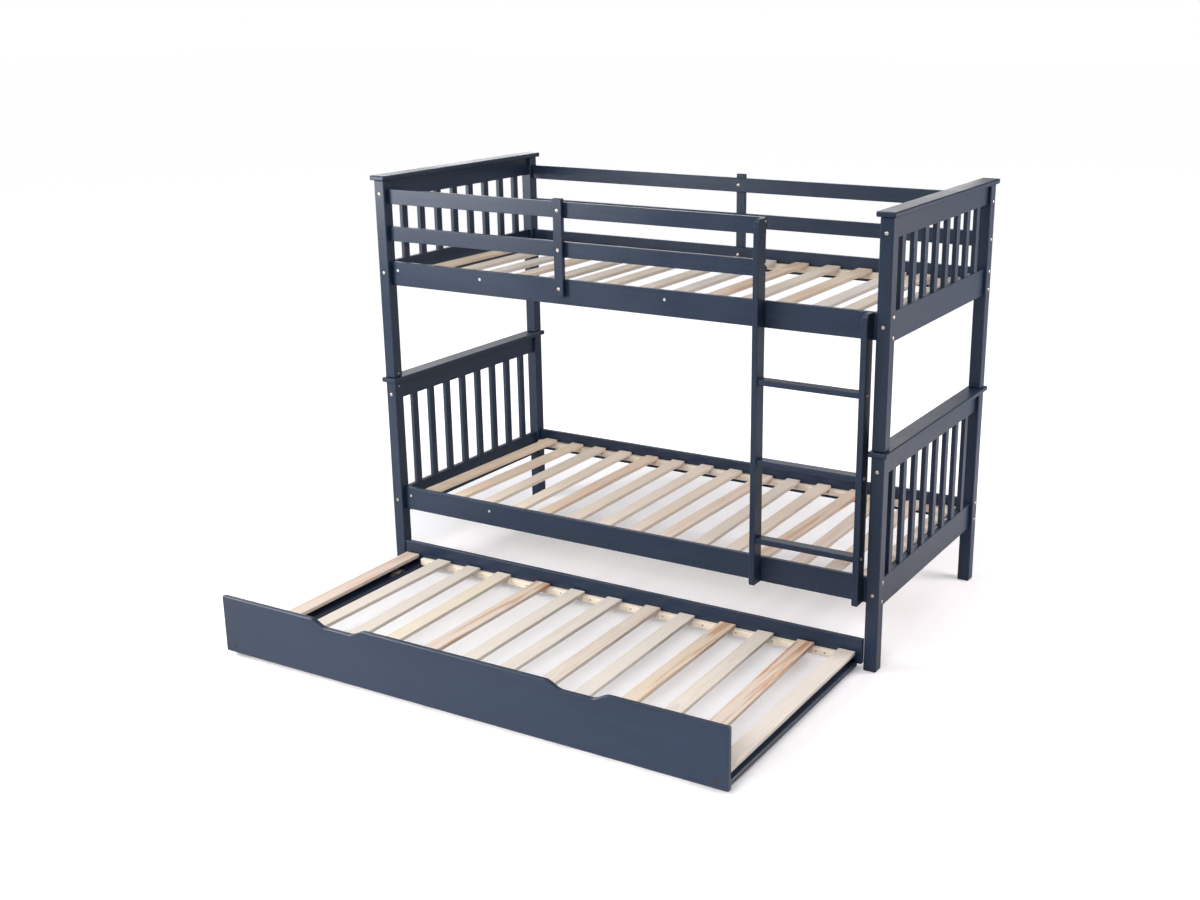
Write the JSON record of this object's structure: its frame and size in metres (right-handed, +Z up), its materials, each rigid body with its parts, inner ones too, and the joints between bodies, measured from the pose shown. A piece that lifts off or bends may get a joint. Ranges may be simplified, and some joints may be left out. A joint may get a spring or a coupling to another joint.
{
  "type": "bunk bed with trundle",
  "caption": "Wooden bunk bed with slatted beds, spindled ends, guard boards, a hung ladder and a low trundle bed that rolls out on casters from under the lower bed.",
  "frame": {"origin": "on the floor, under the middle of the whole part's bounding box with the trundle pulled right out", "axes": "+X runs along the bed from the head end to the foot end, where the ladder hangs; the trundle pulls out towards -Y; +Z is up"},
  "size_m": [2.04, 1.9292, 1.5134],
  "materials": {
    "navy_paint": "pine boards in a satin blue-grey paint",
    "bare_pine": "planed, unfinished",
    "zinc_steel": "pressed steel, zinc plated",
    "black_plastic": "moulded"
  },
  "bodies": {
    "bed": {"lower_head_post_front": "navy_paint", "lower_head_post_rear": "navy_paint", "lower_head_cap": "navy_paint", "lower_head_panel": "navy_paint", "lower_foot_post_front": "navy_paint", "lower_foot_post_rear": "navy_paint", "lower_foot_cap": "navy_paint", "lower_foot_panel": "navy_paint", "lower_side_rail_front": "navy_paint", "lower_side_rail_rear": "navy_paint", "lower_slat_deck": "bare_pine", "upper_head_post_front": "navy_paint", "upper_head_post_rear": "navy_paint", "upper_head_cap": "navy_paint", "upper_head_panel": "navy_paint", "upper_foot_post_front": "navy_paint", "upper_foot_post_rear": "navy_paint", "upper_foot_cap": "navy_paint", "upper_foot_panel": "navy_paint", "upper_side_rail_front": "navy_paint", "upper_side_rail_rear": "navy_paint", "upper_slat_deck": "bare_pine", "guard_top_front": "navy_paint", "guard_lower_front": "navy_paint", "guard_top_rear": "navy_paint", "guard_lower_rear": "navy_paint", "guard_support_front": "navy_paint", "guard_support_rear": "navy_paint", "ladder_stile_left": "navy_paint", "ladder_stile_right": "navy_paint", "ladder_rung_1": "navy_paint", "ladder_rung_2": "navy_paint", "ladder_rung_3": "navy_paint", "stacking_pin_head_front": "zinc_steel", "stacking_pin_head_rear": "zinc_steel", "stacking_pin_foot_front": "zinc_steel", "stacking_pin_foot_rear": "zinc_steel"},
    "trundle": {"trundle_front_panel": "navy_paint", "trundle_rear_board": "navy_paint", "trundle_caster_board_left": "navy_paint", "trundle_caster_board_right": "navy_paint", "trundle_side_batten_left": "navy_paint", "trundle_side_batten_right": "navy_paint", "trundle_end_slat_left": "bare_pine", "trundle_end_slat_right": "bare_pine", "trundle_panel_cap_left": "black_plastic", "trundle_panel_cap_right": "black_plastic", "trundle_slat_deck": "bare_pine", "caster_bracket_front_left": "zinc_steel", "caster_bracket_front_right": "zinc_steel", "caster_bracket_rear_left": "zinc_steel", "caster_bracket_rear_right": "zinc_steel", "caster_axle_front_left": "zinc_steel", "caster_axle_front_right": "zinc_steel", "caster_axle_rear_left": "zinc_steel", "caster_axle_rear_right": "zinc_steel"},
    "wheel_front_left": {"wheel_front_left": "black_plastic"},
    "wheel_front_right": {"wheel_front_right": "black_plastic"},
    "wheel_rear_left": {"wheel_rear_left": "black_plastic"},
    "wheel_rear_right": {"wheel_rear_right": "black_plastic"}
  },
  "joints": [
    {"name": "trundle_slide", "type": "slide", "parent": "bed", "child": "trundle", "axis": [0, 1, 0], "range_m": [0, 0.946]},
    {"name": "wheel_roll_front_left", "type": "hinge", "parent": "trundle", "child": "wheel_front_left", "pos_m": [-0.893, -0.7954, 0.018], "axis": [1, 0, 0], "range_deg": [-3100, 60]},
    {"name": "wheel_roll_front_right", "type": "hinge", "parent": "trundle", "child": "wheel_front_right", "pos_m": [0.893, -0.7954, 0.018], "axis": [1, 0, 0], "range_deg": [-3100, 60]},
    {"name": "wheel_roll_rear_left", "type": "hinge", "parent": "trundle", "child": "wheel_rear_left", "pos_m": [-0.893, -0.1574, 0.018], "axis": [1, 0, 0], "range_deg": [-3100, 60]},
    {"name": "wheel_roll_rear_right", "type": "hinge", "parent": "trundle", "child": "wheel_rear_right", "pos_m": [0.893, -0.1574, 0.018], "axis": [1, 0, 0], "range_deg": [-3100, 60]}
  ],
  "couplings": [
    {"joint": "wheel_roll_front_left", "follows": "trundle_slide", "rad_per_m": -55.556},
    {"joint": "wheel_roll_front_right", "follows": "trundle_slide", "rad_per_m": -55.556},
    {"joint": "wheel_roll_rear_left", "follows": "trundle_slide", "rad_per_m": -55.556},
    {"joint": "wheel_roll_rear_right", "follows": "trundle_slide", "rad_per_m": -55.556}
  ]
}
